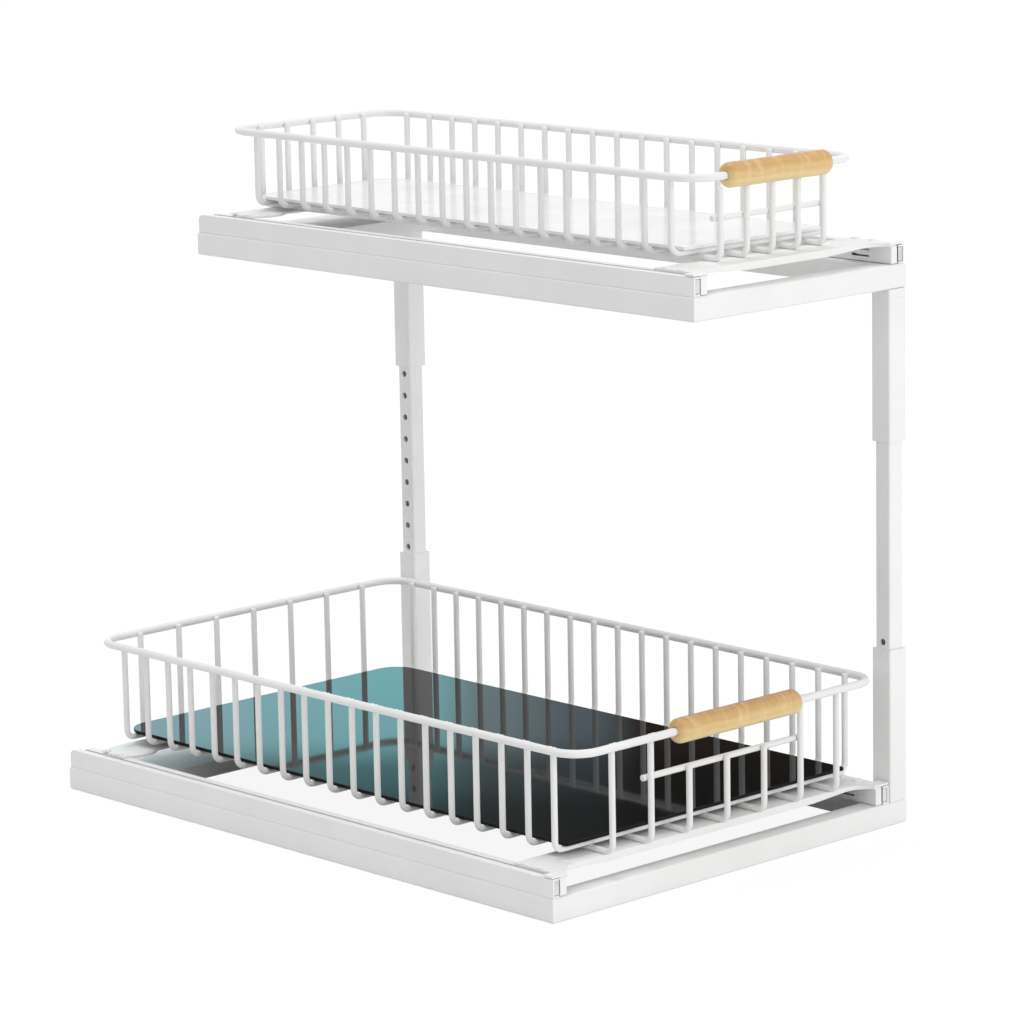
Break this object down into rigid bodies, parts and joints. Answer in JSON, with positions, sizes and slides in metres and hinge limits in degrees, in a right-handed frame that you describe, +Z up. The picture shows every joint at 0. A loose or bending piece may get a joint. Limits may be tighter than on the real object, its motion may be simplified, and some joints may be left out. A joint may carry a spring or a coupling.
{
  "type": "two-tier pull-out cabinet basket",
  "caption": "White tiered pull-out cabinet organiser: wire baskets with wooden grips on ball slides, the narrower tier on height-adjustable posts at one side.",
  "frame": {"origin": "middle of the footprint at the underside of the base frame", "axes": "+Y to the rear (the grips face -Y), +X to the side with the posts, +Z up"},
  "size_m": [0.285, 0.4242, 0.3946],
  "materials": {
    "frame_white": "white powder coat, satin",
    "slide_zinc": "zinc plated",
    "grip_wood": "turned light wood, clear oiled",
    "tray_smoke": "dark tinted, polished",
    "tray_white": "white, polished"
  },
  "bodies": {
    "base": {"base_front_bar": "frame_white", "base_rear_bar": "frame_white", "base_left_rail": "frame_white", "base_right_rail": "frame_white", "base_tie_plate": "frame_white", "front_lower_sleeve": "frame_white", "rear_lower_sleeve": "frame_white", "lower_lock_screws": "slide_zinc", "lower_left_channel": "frame_white", "lower_right_channel": "frame_white", "lower_channel_rivets": "slide_zinc"},
    "inner_posts": {"front_inner_tube": "frame_white", "rear_inner_tube": "frame_white"},
    "top_frame": {"front_upper_sleeve": "frame_white", "rear_upper_sleeve": "frame_white", "upper_lock_screws": "slide_zinc", "front_stub": "frame_white", "rear_stub": "frame_white", "top_front_bar": "frame_white", "top_rear_bar": "frame_white", "top_left_rail": "frame_white", "top_right_rail": "frame_white", "top_tie_plate": "frame_white", "upper_left_channel": "frame_white", "upper_right_channel": "frame_white", "upper_channel_rivets": "slide_zinc"},
    "lower_outer_cage_pair": {"lower_outer_cages": "slide_zinc"},
    "lower_mid_members": {"lower_left_mid_member": "slide_zinc", "lower_right_mid_member": "slide_zinc"},
    "lower_inner_cage_pair": {"lower_inner_cages": "slide_zinc"},
    "lower_basket": {"lower_left_carriage": "frame_white", "lower_right_carriage": "frame_white", "lower_front_strap": "frame_white", "lower_rear_strap": "frame_white", "lower_strap_rivets": "frame_white", "lower_rim": "frame_white", "lower_cross_wires": "frame_white", "lower_long_wires": "frame_white", "lower_grip_rod": "frame_white", "lower_grip_handle": "grip_wood", "lower_tray_plate": "tray_smoke"},
    "upper_outer_cage_pair": {"upper_outer_cages": "slide_zinc"},
    "upper_mid_members": {"upper_left_mid_member": "slide_zinc", "upper_right_mid_member": "slide_zinc"},
    "upper_inner_cage_pair": {"upper_inner_cages": "slide_zinc"},
    "upper_basket": {"upper_left_carriage": "frame_white", "upper_right_carriage": "frame_white", "upper_front_strap": "frame_white", "upper_rear_strap": "frame_white", "upper_strap_rivets": "frame_white", "upper_rim": "frame_white", "upper_cross_wires": "frame_white", "upper_long_wires": "frame_white", "upper_grip_rod": "frame_white", "upper_grip_handle": "grip_wood", "upper_tray_plate": "tray_white"}
  },
  "joints": [
    {"name": "lower_height", "type": "slide", "parent": "base", "child": "inner_posts", "axis": [0, 0, 1], "range_m": [-0.028, 0.042]},
    {"name": "upper_height", "type": "slide", "parent": "inner_posts", "child": "top_frame", "axis": [0, 0, 1], "range_m": [-0.014, 0.028]},
    {"name": "lower_slide", "type": "slide", "parent": "base", "child": "lower_mid_members", "axis": [0, -1, 0], "range_m": [0, 0.16]},
    {"name": "lower_basket_slide", "type": "slide", "parent": "lower_mid_members", "child": "lower_basket", "axis": [0, -1, 0], "range_m": [0, 0.16]},
    {"name": "lower_outer_cage_roll", "type": "slide", "parent": "base", "child": "lower_outer_cage_pair", "axis": [0, -1, 0], "range_m": [0, 0.08]},
    {"name": "lower_inner_cage_roll", "type": "slide", "parent": "lower_mid_members", "child": "lower_inner_cage_pair", "axis": [0, -1, 0], "range_m": [0, 0.08]},
    {"name": "upper_slide", "type": "slide", "parent": "top_frame", "child": "upper_mid_members", "axis": [0, -1, 0], "range_m": [0, 0.16]},
    {"name": "upper_basket_slide", "type": "slide", "parent": "upper_mid_members", "child": "upper_basket", "axis": [0, -1, 0], "range_m": [0, 0.16]},
    {"name": "upper_outer_cage_roll", "type": "slide", "parent": "top_frame", "child": "upper_outer_cage_pair", "axis": [0, -1, 0], "range_m": [0, 0.08]},
    {"name": "upper_inner_cage_roll", "type": "slide", "parent": "upper_mid_members", "child": "upper_inner_cage_pair", "axis": [0, -1, 0], "range_m": [0, 0.08]}
  ],
  "couplings": [
    {"joint": "lower_basket_slide", "follows": "lower_slide", "ratio": 1},
    {"joint": "lower_outer_cage_roll", "follows": "lower_slide", "ratio": 0.5},
    {"joint": "lower_inner_cage_roll", "follows": "lower_slide", "ratio": 0.5},
    {"joint": "upper_basket_slide", "follows": "upper_slide", "ratio": 1},
    {"joint": "upper_outer_cage_roll", "follows": "upper_slide", "ratio": 0.5},
    {"joint": "upper_inner_cage_roll", "follows": "upper_slide", "ratio": 0.5}
  ]
}
